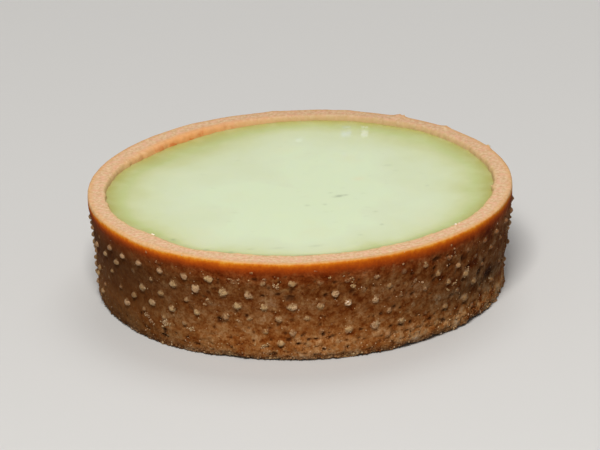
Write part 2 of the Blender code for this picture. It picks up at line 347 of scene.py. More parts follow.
def make_crust(n=880):
    az = -180.0 + 360.0 * np.arange(n) / n
    rin = inner_radius(az)
    rows = []                                 # (r[n], z[n], kind)
    for r in (12.0, 24.0, 31.0, 34.5, 36.0):
        rows.append((np.full(n, r), np.zeros(n), 0))
    for z in (0.0, 0.1, 0.26, 0.46, 0.7, 0.95, 1.2):
        rows.append((base_radius(az, np.full(n, z)), np.full(n, z), 1))
    for z in np.arange(1.46, 17.4, 0.2565):
        rows.append((base_radius(az, np.full(n, z)), np.full(n, z), 2))
    for z in (17.65, 17.95, 18.25, 18.55, 18.85, 19.15, 19.42, 19.64, 19.8, 19.92):
        rows.append((base_radius(az, np.full(n, z)), np.full(n, z), 3))
    # the inner edge is sharp in front and rounder at the back
    turn_in = 0.3 + 0.7 * smooth(-0.7, 0.75, np.sin(np.radians(az)))
    first = rin + 0.95 * turn_in
    for t in np.linspace(0, 1, 11):
        rows.append((39.62 + (first - 39.62) * t, np.full(n, 20.0), 4))
    for dr, dz, t in ((0.7, 0.05, 0.0), (0.48, 0.18, 0.1), (0.3, 0.38, 0.3),
                      (0.16, 0.62, 0.55), (0.05, 0.88, 0.8), (-0.03, 1.15, 1.0),
                      (-0.1, 1.55, 1.0)):
        rows.append((rin + dr * turn_in,
                     20.0 - dz * (turn_in + (1 - turn_in) * t), 5))
    for r, z in ((35.2, 12.0), (34.9, 4.4), (18.0, 3.2)):
        rows.append((np.minimum(rin - 0.3, r), np.full(n, z), 6))
    m = len(rows)
    R = np.stack([r for r, _, _ in rows])
    Z = np.stack([z for _, z, _ in rows])
    K = np.array([k for _, _, k in rows])[:, None] * np.ones((1, n))
    AZ = np.ones((m, 1)) * az[None, :]
    # outward normal of the profile
    dR, dZ = np.gradient(R, axis=0), np.gradient(Z, axis=0)
    ln = np.hypot(dR, dZ) + 1e-9
    NR, NZ = dZ / ln, -dR / ln
    P = np.stack([R * np.cos(np.radians(AZ)), R * np.sin(np.radians(AZ)), Z],
                 -1).reshape(-1, 3)
    sh = (m, n)

    side = (K <= 3) * (K > 0)
    wall = smooth(0.1, 1.2, Z) * (1 - smooth(17.2, 18.1, Z)) * side
    lipm = smooth(17.2, 18.1, Z) * side
    low = (1 - smooth(2.6, 6.4, Z)) * side
    # the wall is smooth at the left, and coarser to the right and low down
    rough = np.maximum(0.14, 0.8 + 0.2 * ring_noise(az, 38.0, 2)
                       - 0.66 * calmness(az) + 0.3 * np.exp(
        -(gap(az, -75.0) / 48.0) ** 2))[None, :] * (1 + 0.35 * low)

    D = np.zeros(sh)
    D += wall * 0.09 * fbm(P / 3.4, 2, 3).reshape(sh)
    # crumb grains, packed like wet sand
    cob = 0.52 - worley(P / 0.74, 33).reshape(sh)
    D += wall * rough * 0.17 * cob
    D += wall * rough * 0.085 * fbm(P / 0.5, 2, 5).reshape(sh)
    # open pits, scattered and named
    w = worley(P / 2.1, 9).reshape(sh)
    pick = vnoise(P / 3.1, 11).reshape(sh)
    pit = (1 - smooth(0.10, 0.30, w)) * smooth(-0.1, 0.3, pick)
    w2 = worley(P / 1.15, 23).reshape(sh)
    pick2 = vnoise(P / 2.0, 27).reshape(sh)
    pit2 = (1 - smooth(0.10, 0.34, w2)) * smooth(-0.05, 0.35, pick2)
    pit, pit2 = pit * wall * rough, pit2 * wall * rough
    D -= 0.38 * pit + 0.24 * pit2
    ragged_edge = fbm(P / 0.7, 2, 61).reshape(sh)
    hole = np.zeros(sh)
    for a0, z0, hw, hh, depth in PITS:
        da = gap(AZ, a0)
        near = (np.abs(da) < 6.0) & (np.abs(Z - z0) < 3.0) & (side > 0)
        u = np.radians(da[near]) * 39.0 / hw
        v = (Z[near] - z0) / hh
        g = np.exp(-(u * u + v * v) ** 1.3 * (1 + 0.7 * ragged_edge[near]))
        D[near] -= depth * 0.8 * g
        hole[near] = np.maximum(hole[near], g * min(1.0, depth * 1.9))
    # level cracks near the foot, and a coarse lower edge
    q = P * np.array([0.42, 0.42, 2.3])
    crack = smooth(0.14, 0.38, fbm(q, 3, 41).reshape(sh)) * low
    crack *= (0.35 + 0.65 * smooth(-120, -95, gap(AZ, 0)) * smooth(
        15, -20, gap(AZ, 0)) + 0.4 * (AZ > 20)) * side
    for zc, amp, seed in ((3.5, 0.55, 51), (2.2, 0.5, 52), (4.6, 0.6, 53)):
        line = zc + amp * ring_noise(AZ, 9.0, seed) + 0.2 * ring_noise(
            AZ, 2.2, seed + 7)
        on = smooth(0.02, 0.35, ring_noise(AZ, 6.0, seed + 3))
        on *= 0.35 + 0.65 * np.exp(-(gap(AZ, -68.0) / 42.0) ** 2) + 0.3 * (AZ > 0)
        g = np.exp(-((Z - line) / 0.17) ** 2) * on * side
        crack = np.maximum(crack, g)
    D -= 0.2 * crack * smooth(0.3, 1.0, Z)
    ledge = np.exp(-(gap(AZ, -55.0) / 38.0) ** 2) * (1 - smooth(
        2.2, 3.4, Z + 0.5 * ring_noise(AZ, 7.0, 58)))
    D += side * ledge * 0.16
    D += low * 0.13 * fbm(P / 0.62, 2, 45).reshape(sh)

    # raised dots, each an uneven knob of crumb
    dot = np.zeros(sh)
    knob = fbm(P / 0.42, 2, 63).reshape(sh)
    for a0, z0, size, rise, code, turn in DOTS:
        da = gap(AZ, a0)
        near = (np.abs(da) < 3.4) & (np.abs(Z - z0) < 1.9) & (K == 2)
        u, v = np.radians(da[near]) * 39.0, Z[near] - z0
        th = np.arctan2(v, u)
        wild = 1.0 - 0.85 * softness(np.array(a0))
        out = size * (1 + wild * (0.2 * np.sin(2 * th + turn[0])
                                  + 0.14 * np.sin(3 * th + turn[1])
                                  + 0.1 * np.sin(5 * th + turn[2])
                                  + 0.34 * ragged_edge[near]))
        t = np.hypot(u, v) / np.maximum(out, 0.2)
        dome = np.clip(1 - t * t, 0, 1)
        D[near] = (D[near] * (1 - 0.8 * dome ** 0.5)
                   + rise * dome ** 0.75 * (1 + 0.5 * wild * knob[near]))
        dot[near] = np.maximum(dot[near], dome ** 0.7
                               * (0, 0.45, 0.8, 0.95, 1.0, 1.0)[code])
        # the wall is drawn in under and round each dot
        t2 = np.hypot(u, v + size * 1.5)
        D[near] -= 0.16 * np.exp(-(t2 / 0.55) ** 2) * min(1.0, rise * 3.2)

    # lip: nearly smooth, with a fine ripple
    D += lipm * 0.035 * fbm(P / 1.2, 2, 83).reshape(sh)
    D += lipm * 0.02 * fbm(P / 0.4, 2, 84).reshape(sh)
    # cut rim: grain, small pores and a slightly worn edge
    rimm = (K == 4).astype(float)
    grain = 0.5 - worley(P / 0.8, 71).reshape(sh)
    D += rimm * (0.035 * grain + 0.06 * fbm(P / 2.6, 2, 73).reshape(sh))
    pore = (1 - smooth(0.14, 0.34, worley(P / 1.0, 77).reshape(sh)))
    pore *= smooth(0.0, 0.5, vnoise(P / 1.7, 79).reshape(sh)) * rimm
    D -= 0.12 * pore
    D += (K == 5) * (0.15 * fbm(P / 1.3, 2, 87).reshape(sh)
                     + 0.07 * fbm(P / 0.45, 2, 88).reshape(sh))

    R2 = R + NR * D
    Z2 = Z + NZ * D
    # the rim isn't quite level, and swells here and there
    top = smooth(18.6, 19.8, Z) * (K >= 3) * (K <= 5)
    swell = bumps(az, RIM_LUMPS)[None, :] * smooth(37.6, 39.4, R)
    level = (0.05 * np.sin(np.radians(2 * az) + 0.4) + 0.05 * ring_noise(
        az, 24.0, 7) + 0.045 * ring_noise(az, 7.0, 8) + 0.07 * np.exp(
        -(gap(az, 90.0) / 70.0) ** 2))[None, :]
    Z2 = Z2 + top * (level + swell)
    R2 = R2 + top * 0.3 * swell
    # the worn foot: chips, a ragged and slightly lifted edge
    worn = np.clip(1 - Z / 2.4, 0, 1) ** 1.3 * (K > 0) * (K <= 2)
    bite = bumps(AZ, CHIPS)
    torn = fbm(P * np.array([0.8, 0.8, 0.2]), 3, 91).reshape(sh)
    fine = fbm(P / 0.55, 2, 93).reshape(sh)
    tear = (0.35 + 0.75 * np.exp(-(gap(AZ, -55.0) / 34.0) ** 2)
            + 0.25 * smooth(0, 40, AZ) * smooth(180, 140, AZ))
    R2 = R2 - worn * (0.9 * bite + 0.7 * tear * np.clip(torn, -0.35, 1)
                      + 0.22 * fine)
    foot = smooth(35.6, 36.6, R) * (Z < 1.5) * (K <= 2)
    lift = (0.05 + 0.2 * np.exp(-(gap(AZ, -97.0) / 20.0) ** 2)
            + 0.75 * tear * np.clip(torn + 0.05, 0, 1) + 0.6 * bite
            + 0.1 * np.clip(fine, 0, 1))
    Z2 = np.where(K <= 2, Z2 + 0.4 * foot * lift * (1 - Z / 1.6), Z2)
    # underside: shallow pores
    under = (K == 0)
    Z2 = np.where(under & (R > 13), np.maximum(
        0.0, 0.10 * fbm(P / 1.6, 2, 97).reshape(sh)), Z2)
    Z2 = np.maximum(Z2, 0.0)

    rows_wall = [i for i, (_, _, k) in enumerate(rows) if k in (1, 2, 3)]
    WALL_GRID["z"] = Z[rows_wall, 0]
    WALL_GRID["r"] = R2[rows_wall]
    WALL_GRID["zz"] = Z2[rows_wall]
    WALL_GRID["n"] = n

    V = np.stack([R2 * np.cos(np.radians(AZ)), R2 * np.sin(np.radians(AZ)),
                  Z2], -1).reshape(-1, 3)
    quads = lathe_faces(m, n)
    c0, c1 = len(V), len(V) + 1
    V = np.vstack([V, [[0, 0, 0.0], [0, 0, FLOOR]]])
    k = np.arange(n)
    last = (m - 1) * n
    tris = np.concatenate([
        np.stack([np.full(n, c0), (k + 1) % n, k], -1),
        np.stack([last + k, last + (k + 1) % n, np.full(n, c1)], -1)])

    def pad(a, x=0.0, y=0.0):
        return np.concatenate([a.ravel(), [x, y]])

    # painted shade: pits, cracks, holes and the gaps between crumb grains get a
    # darker colour
    pit_shade = np.clip(0.9 * pit + 0.65 * pit2 + 0.55 * crack + 0.95 * hole
                  - 0.7 * wall * rough * cob, 0, 1) * (1 - dot)
    over = bumps(AZ, RIM_SHIFT)
    down, front = np.clip(over, 0, 1), np.clip(-over, 0, 1) / 0.25
    attrs = {"height": pad(np.where(K <= 3, Z2 + over * smooth(18.2, 19.5, Z),
                                    Z), 0, FLOOR),
             "dot": pad(dot), "pit": pad(pit_shade),
             "relief": pad(np.clip(0.5 + 1.6 * wall * cob, 0, 1), 0.5, 0.5),
             "rim": pad(np.where(
                 K >= 4, 1 - (0.42 + 0.35 * front - 0.3 * down) * smooth(
                     38.7 - 0.1 * front, 39.62 - 0.15 * front, R),
                 (0.55 - 0.35 * front + 0.3 * down) * smooth(
                     19.8 - 1.2 * down, 20.0 - 0.6 * down, Z) * (K == 3))),
             "bake_and_side_shade": pad(browning_and_side_shade(AZ, Z), 1, 1),
             "toast": pad(np.exp(-(gap(AZ, 128.0) / 24.0) ** 2)),
             "fine": pad(1 - 0.65 * calmness(AZ) - 0.58 * np.exp(
                 -(gap(AZ, -12.0) / 32.0) ** 2)),
             "patch": pad(1 - 0.6 * calmness(AZ) + 0.6 * np.exp(
                 -(gap(AZ, -25.0) / 28.0) ** 2)),
             "sandy": pad(np.exp(-(gap(AZ, -30.0) / 36.0) ** 2) * side
                          * (1 - 0.5 * smooth(2.6, 5.0, Z))
                          * (1 - smooth(16.5, 18.2, Z))),
             "far": pad(1 - 0.13 * np.exp(-(gap(AZ, 70.0) / 48.0) ** 2)
                        * (K >= 4), 1, 1),
             "across": pad((R - rin[None, :]) * (K >= 3) + 9.0 * (K < 3), 9, 0),
             "pore": pad(pore)}
    return build("pastry_case", V, quads, tris, attrs)


crust = make_crust()


def make_filling(nr=126, n=500):
    az = -180.0 + 360.0 * np.arange(n) / n
    rin = inner_radius(az)
    rows = []
    top = HEIGHT - FILL_DROP
    # closed below: a flat bottom a little above the pastry floor
    for r in (12.0, 32.5):
        rows.append((np.full(n, r), np.full(n, FLOOR + 0.1)))
    rows.append((np.full(n, 34.6), np.full(n, 5.0)))
    rows.append((rin + 0.45, np.full(n, top - 1.2)))
    rows.append((rin + 0.5, np.full(n, top - 0.2)))
    edge = 0.5 - np.array([0.0, 0.25, 0.5, 0.7, 0.9, 1.2, 1.5, 1.9, 2.4, 3.0])
    for d in edge:
        rows.append((rin + d, None))
    t = np.linspace(0, 1, nr)[1:-1]
    for s in t:
        r = (rin - 2.5) * (1 - s)
        rows.append((np.maximum(r, 0.12), None))
    m = len(rows)
    R = np.stack([r for r, _ in rows])
    RIN = np.ones((m, 1)) * rin[None, :]
    AZ = np.ones((m, 1)) * az[None, :]
    X, Y = R * np.cos(np.radians(AZ)), R * np.sin(np.radians(AZ))
    P = np.stack([X, Y, 0 * X], -1).reshape(-1, 3)
    d = RIN - R
    rise = 0.5 * MENISCUS * np.exp(-np.clip(d, -0.6, 99) / 0.9)
    ripple = 0.03 * fbm(P / 11.0, 2, 201).reshape(m, n)
    ripple += 0.006 * fbm(P / 2.2, 2, 203).reshape(m, n)
    # a still, level patch near the back mirrors the small lamps
    calm = 1 - np.exp(-((np.abs(X - 7.0) / 15.0) ** 6
                        + (np.abs(Y - 29.0) / 6.5) ** 6))
    ripple *= calm
    rise *= calm
    lower = -0.3 * np.exp(-(gap(AZ, 140.0) / 30.0) ** 2) * smooth(24, 36, R)
    Zt = top + rise + ripple * smooth(0.0, 3.0, d) + lower
    Z = np.stack([z if z is not None else Zt[i]
                  for i, (_, z) in enumerate(rows)])
    V = np.stack([X, Y, Z], -1).reshape(-1, 3)
    quads = lathe_faces(m, n)
    V = np.vstack([V, [[0, 0, FLOOR + 0.1], [0, 0, top]]])
    k = np.arange(n)
    last = (m - 1) * n
    tris = np.concatenate([
        np.stack([np.full(n, len(V) - 2), (k + 1) % n, k], -1),
        np.stack([last + k, last + (k + 1) % n, np.full(n, len(V) - 1)], -1)])

    # pistachio flecks just under the surface: x, y, half length, half width,
    # turn, strength
    fleck = np.zeros((m, n))
    rng = np.random.default_rng(5)
    marks = [(7.3, -4.1, 0.95, 0.5, 22, 0.62), (8.5, -3.7, 0.5, 0.4, 20, 0.4),
             (1.3, -8.4, 0.5, 0.4, 0, 0.26), (4.6, -8.2, 0.4, 0.4, 20, 0.28),
             (14.0, -12.6, 0.4, 0.34, 0, 0.26), (5.7, -2.3, 0.45, 0.35, 10, 0.2),
             (16.8, 11.1, 0.9, 0.5, 10, 0.16), (24.0, -0.2, 0.35, 0.4, 0, 0.2),
             (15.0, -19.2, 0.3, 0.34, 0, 0.36), (10.9, -24.1, 0.3, 0.5, 80, 0.22),
             (-23.7, -23.5, 0.36, 0.5, 0, 0.6), (-17.5, -29.1, 0.4, 0.5, 0, 0.55),
             (-13.0, -30.7, 0.4, 0.5, 0, 0.5),
             (2.6, -28.8, 1.3, 0.5, 12, 0.22), (-4.4, -29.3, 1.3, 0.45, 5, 0.18),
             (-9.4, -29.4, 0.7, 0.4, 5, 0.2)]
    for _ in range(55):
        a, r = rng.uniform(0, 2 * np.pi), 33 * np.sqrt(rng.uniform())
        s = rng.uniform(0.2, 0.4)
        marks.append((r * np.cos(a), r * np.sin(a), s * rng.uniform(1, 2.2), s,
                      rng.uniform(-25, 25), rng.uniform(0.03, 0.11)))
    warp = fbm(P / 0.5, 2, 211).reshape(m, n)
    surf = np.array([z is None for _, z in rows])[:, None] * np.ones((1, n))
    for x, y, a, b, turn, s in marks:
        near = (np.abs(X - x) < 3) & (np.abs(Y - y) < 3) & (surf > 0)
        dx, dy = X[near] - x, Y[near] - y
        c, q = math.cos(math.radians(turn)), math.sin(math.radians(turn))
        u, v = (dx * c + dy * q) / a, (-dx * q + dy * c) / b
        g = np.exp(-(u * u + v * v) * (1 + 0.35 * warp[near]))
        fleck[near] = np.maximum(fleck[near], s * g)
    # the edge colour reaches further in at the back left, and less in front
    width = (1.0 - 0.42 * np.exp(-(gap(az, -90.0) / 48.0) ** 2)
             + 0.55 * np.exp(-(gap(az, 136.0) / 27.0) ** 2)
             + 0.10 * ring_noise(az, 17.0, 3) + 0.06 * ring_noise(az, 6.0, 4))
    # painted shade: a darker olive line along the front edge of the cream, where the
    # front rim shades it
    line = np.exp(-(gap(AZ, -88.0) / 42.0) ** 4) * (1 - smooth(2.0, 3.0, d))
    attrs = {"edge": np.concatenate([(d / width[None, :]).ravel(), [36, 36]]),
             "line": np.concatenate([line.ravel(), [0, 0]]),
             "blush": np.concatenate([0.24 * np.exp(
                 -((X - 11.1) / 1.1) ** 2 - ((Y - 4.5) / 1.0) ** 2).ravel(),
                 [0, 0]]),
             "fleck": np.concatenate([fleck.ravel(), [0, 0]])}
    return build("pistachio_cream", V, quads, tris, attrs)


cream = make_filling()


# ---------------------------------------------------------------------------
# Crumbs: small faceted grains joined to one mesh for each kind
# ---------------------------------------------------------------------------
def icosahedron():
    t = (1 + 5 ** 0.5) / 2
    v = np.array([(-1, t, 0), (1, t, 0), (-1, -t, 0), (1, -t, 0),
                  (0, -1, t), (0, 1, t), (0, -1, -t), (0, 1, -t),
                  (t, 0, -1), (t, 0, 1), (-t, 0, -1), (-t, 0, 1)], float)
    f = np.array([(0, 11, 5), (0, 5, 1), (0, 1, 7), (0, 7, 10), (0, 10, 11),
                  (1, 5, 9), (5, 11, 4), (11, 10, 2), (10, 7, 6), (7, 1, 8),
                  (3, 9, 4), (3, 4, 2), (3, 2, 6), (3, 6, 8), (3, 8, 9),
                  (4, 9, 5), (2, 4, 11), (6, 2, 10), (8, 6, 7), (9, 8, 1)])
    return v / np.linalg.norm(v[0]), f


def grains(name, centres, normals, sizes, shades, seed, flat=0.78):
    rng = np.random.default_rng(seed)
    v, f = icosahedron()
    C, W = np.array(centres), np.array(normals)
    S, n = np.array(sizes), len(centres)
    a = rng.normal(size=(n, 3))
    a -= W * (a * W).sum(1, keepdims=True)
    a /= np.linalg.norm(a, axis=1, keepdims=True)
    b = np.cross(W, a)
    q = v[None] * rng.uniform(0.72, 1.28, size=(n, 12, 1))
    q = q * np.stack([rng.uniform(0.8, 1.35, n), rng.uniform(0.75, 1.1, n),
                      flat * rng.uniform(0.8, 1.2, n)], -1)[:, None, :]
    q = q * S[:, None, None]
    out = (C[:, None] + q[..., :1] * a[:, None] + q[..., 1:2] * b[:, None]
           + q[..., 2:] * W[:, None])
    out[..., 2] = np.maximum(out[..., 2], 0.0)
    tris = (f[None] + np.arange(n)[:, None, None] * 12).reshape(-1, 3)
    at = np.degrees(np.arctan2(C[:, 1], C[:, 0]))
    attrs = {"shade": np.repeat(np.array(shades, float), 12),
             "height": out[..., 2].ravel(),
             "bake_and_side_shade": np.repeat(browning_and_side_shade(at, C[:, 2]), 12),
             "patch": np.repeat(1 - 0.6 * calmness(at), 12)}
    return build(name, out.reshape(-1, 3), np.zeros((0, 4), int), tris, attrs)


def knobs(name, centres, sizes, shades, seed):
    """Smooth rounded lumps, a little flattened against the wall."""
    rng = np.random.default_rng(seed)
    v, f = icosahedron()
    for _ in range(2):
        mids, new, v = {}, [], list(map(tuple, v))
        for a, b, c in f:
            m = []
            for p, q in ((a, b), (b, c), (c, a)):
                key = (min(p, q), max(p, q))
                if key not in mids:
                    w = np.add(v[p], v[q])
                    v.append(tuple(w / np.linalg.norm(w)))
                    mids[key] = len(v) - 1
                m.append(mids[key])
            new += [(a, m[0], m[2]), (b, m[1], m[0]), (c, m[2], m[1]),
                    (m[0], m[1], m[2])]
        v, f = np.array(v), np.array(new)
    k = len(v)
    V, F, A = [], [], {"shade": [], "height": [], "bake_and_side_shade": [], "patch": []}
    for i, ((az, r, z), s, h) in enumerate(zip(centres, sizes, shades)):
        t = math.radians(az)
        w = np.array([math.cos(t), math.sin(t), 0.0])
        u = np.array([-math.sin(t), math.cos(t), 0.0])
        wild = 1 - 0.7 * float(softness(np.array(az)))
        lump = 1 + 0.26 * wild * vnoise(v * 1.3 + rng.uniform(0, 50, 3), 7) \
            + 0.26 * wild * vnoise(v * 3.2 + rng.uniform(0, 50, 3), 8)
        q = v * (s * lump)[:, None] * np.array([
            0.8, rng.uniform(0.94, 1.1), rng.uniform(0.62, 0.78) + 0.2 * wild])
        p = np.array([r * w[0], r * w[1], z]) + q[:, :1] * w + q[:, 1:2] * u
        p[:, 2] += q[:, 2]
        V.append(p)
        F.append(f + i * k)
        A["shade"].append(h * (1 + 0.14 * vnoise(v * 2.5 + i, 9)))
        A["height"].append(p[:, 2])
        A["bake_and_side_shade"].append(np.full(k, float(browning_and_side_shade(np.array(az), np.array(z)))))
        A["patch"].append(np.full(k, 0.3))
    return build(name, np.vstack(V), np.zeros((0, 4), int), np.vstack(F),
                 {key: np.concatenate(val) for key, val in A.items()})


def on_wall(az, z, out=0.0):
    """Points on the displaced wall, and the outward direction there."""
    az, z = np.atleast_1d(az).astype(float), np.atleast_1d(z).astype(float)
    n, zs = WALL_GRID["n"], WALL_GRID["z"]
    j = np.round((az + 180.0) / 360.0 * n).astype(int) % n
    i = np.clip(np.searchsorted(zs, z), 1, len(zs) - 1)
    f = np.clip((z - zs[i - 1]) / (zs[i] - zs[i - 1]), 0, 1)
    r = WALL_GRID["r"][i - 1, j] * (1 - f) + WALL_GRID["r"][i, j] * f + out
    zz = WALL_GRID["zz"][i - 1, j] * (1 - f) + WALL_GRID["zz"][i, j] * f
    a = np.radians(az)
    return (np.stack([r * np.cos(a), r * np.sin(a), zz], -1),
            np.stack([np.cos(a), np.sin(a), 0 * a], -1))


def make_crumbs():
    rng = np.random.default_rng(19)
    # grains that make up the dots and the pale clumps
    A, Z, O, S, H = [], [], [], [], []
    round_at, round_size, round_shade = [], [], []
    for az, z, size, rise, code, turn in DOTS:
        soft = float(softness(np.array(az)))
        dim = math.exp(-((az + 20.0) / 32.0) ** 2)
        p, _ = on_wall(az, z)
        r = float(np.hypot(p[0, 0], p[0, 1]))
        s = size * (0, 0.85, 0.9, 0.98, 1.0, 1.0)[code] * (1 - 0.18 * dim)
        # at the sides the knobs stand further out
        proud = 0.2 * soft * (0, 0.3, 0.7, 1.0, 1.0, 1.0)[code]
        round_at.append((az, r - 0.8 * s + proud
                         + (0, 0.0, 0.04, 0.06, 0.06, 0.08)[code], z))
        round_size.append(s)
        round_shade.append((0, 0.4, 0.5, 0.61, 0.68, 0.92)[code]
                           * rng.uniform(0.86, 1.1) * (1 - 0.3 * dim))
        few = 0.95 - 0.9 * min(1.0, soft * 1.3)
        for _ in range(int(round((0, 5, 8, 13, 19, 14)[code] * few))):
            r = size * 0.95 * math.sqrt(rng.uniform())
            t = rng.uniform(0, 2 * math.pi)
            s = rng.uniform(0.08, 0.17) * (1.1 if code == 4 else 1.0)
            A.append(az + math.degrees(r * math.cos(t) / 39.2))
            Z.append(z + r * math.sin(t))
            O.append(-0.25 * s)
            S.append(s)
            H.append(rng.uniform(0.42, 0.88) * (0.62, 0.72, 0.85, 0.95,
                                                1.0, 1.06)[code])
    for az, z, half, turn in CLUMPS:
        c, q = math.cos(math.radians(turn)), math.sin(math.radians(turn))
        wide = 1.25 if z < 6 else 1.0
        for _ in range(int((6 + 26 * half * half) * wide ** 2)):
            u = rng.normal(0, half * 0.55 * wide)
            v = rng.normal(0, half * 0.3 * wide)
            s = rng.uniform(0.09, 0.21)
            A.append(az + math.degrees((u * c - v * q) / 39.2))
            Z.append(z + u * q + v * c)
            O.append(0.1 * s)
            S.append(s)
            H.append(rng.uniform(0.4, 0.8) * (0.72 if z > 17.8 else
                                              0.86 if z > 16.2 else
                                              1.12 if z < 6 else 1.0))
    C, N = on_wall(np.array(A), np.array(Z), np.array(O))
    dotted = grains("dot_crumbs", C, N, S, H, 3)
    knobbed = knobs("dot_knobs", round_at, round_size, round_shade, 6)

    # grains in the wall between the dots
    n = 5200
    az = rng.uniform(-180, 180, n)
    z = 2.0 + 15.6 * rng.beta(0.95, 1.15, n)
    s = rng.uniform(0.08, 0.19, n)
    keep = rng.uniform(size=n) > 0.9 * calmness(az)
    az, z, s = az[keep], z[keep], s[keep]
    C, N = on_wall(az, z, -0.35 * s)
    bright = rng.uniform(size=len(az)) < 0.14
    H = np.where(bright, rng.uniform(0.45, 0.95, len(az)),
                 rng.uniform(0.0, 0.36, len(az)))
    wall = grains("wall_crumbs", C, N, s, H, 4)

    # coarse sandy crumb along the foot, and bits that cling to its edge
    n = 6400
    az = rng.uniform(-180, 180, n)
    z = 3.6 * rng.beta(0.85, 1.7, n)
    s = rng.uniform(0.08, 0.19, n)
    keep = rng.uniform(size=n) > 0.8 * calmness(az)
    az, z, s = az[keep], z[keep], s[keep]
    n = len(az)
    C, N = on_wall(az, z, -0.3 * s)
    C[:, 2] = np.maximum(C[:, 2], s * 0.8)
    H = np.where(rng.uniform(size=n) < 0.18, rng.uniform(0.35, 0.8, n),
                 rng.uniform(0.0, 0.42, n))
    m = 1300
    az2 = rng.choice([-70.0, -40.0, -100.0, -140.0, 60.0, 130.0], m,
                     p=[.3, .27, .15, .06, .11, .11]) + rng.normal(0, 22, m)
    s2 = rng.uniform(0.1, 0.27, m)
    C2, N2 = on_wall(az2, np.abs(rng.normal(0.2, 0.28, m)), 0.3 * s2)
    C2[:, 2] = np.maximum(C2[:, 2], s2 * 0.85)
    H2 = np.where(rng.uniform(size=m) < 0.3, rng.uniform(0.55, 0.88, m),
                  rng.uniform(0.15, 0.55, m))
    # grains on the rim's edges; the row of four near-white ones at about -110
    # degrees is a painted highlight along the cream's edge, and the other near-white
    # ones are partly pale crumb, partly painted glint
    edge = ((60.3, 39.9, 0.26, 20.3, 0.92), (59.0, 39.95, 0.2, 20.25, 0.92),
            (44.4, 39.9, 0.24, 20.2, 0.92), (24.4, 39.9, 0.27, 20.15, 0.92),
            (25.4, 39.95, 0.2, 20.1, 0.92), (-140.5, 35.75, 0.3, 19.95, 1.0),
            (-139.9, 35.7, 0.22, 19.95, 1.0), (-123.6, 39.85, 0.2, 19.8, 0.92),
            (-116.8, 39.7, 0.17, 19.85, 0.95), (-38.5, 36.5, 0.24, 20.0, 1.0),
            (-37.2, 36.7, 0.18, 20.0, 0.97), (-5.6, 36.2, 0.24, 19.85, 0.92),
            (-111.2, 36.1, 0.14, 19.85, 1.0), (-110.6, 36.1, 0.15, 19.85, 1.0),
            (-110.0, 36.05, 0.15, 19.85, 1.0), (-109.4, 36.05, 0.14, 19.85, 1.0),
            (-62.0, 39.8, 0.15, 19.8, 0.92), (-47.6, 37.4, 0.3, 0.3, 0.95))
    C3, N3, S3, H3 = [], [], [], []
    for a, r, sz, zz, light in edge:
        t = math.radians(a)
        C3.append((r * math.cos(t), r * math.sin(t), zz))
        N3.append((0.0, 0.0, 1.0))
        S3.append(sz)
        H3.append(light)
    foot = grains("foot_crumbs", np.vstack([C, C2, C3]), np.vstack([N, N2, N3]),
                  np.concatenate([s, s2, S3]), np.concatenate([H, H2, H3]), 5)
    return dotted, knobbed, wall, foot


dot_crumbs, dot_knobs, wall_crumbs, foot_crumbs = make_crumbs()


# ---------------------------------------------------------------------------
# Materials
# ---------------------------------------------------------------------------
def lin(r, g, b):
    def f(c):
        c /= 255.0
        return c / 12.92 if c <= 0.04045 else ((c + 0.055) / 1.055) ** 2.4
    return (f(r), f(g), f(b), 1.0)


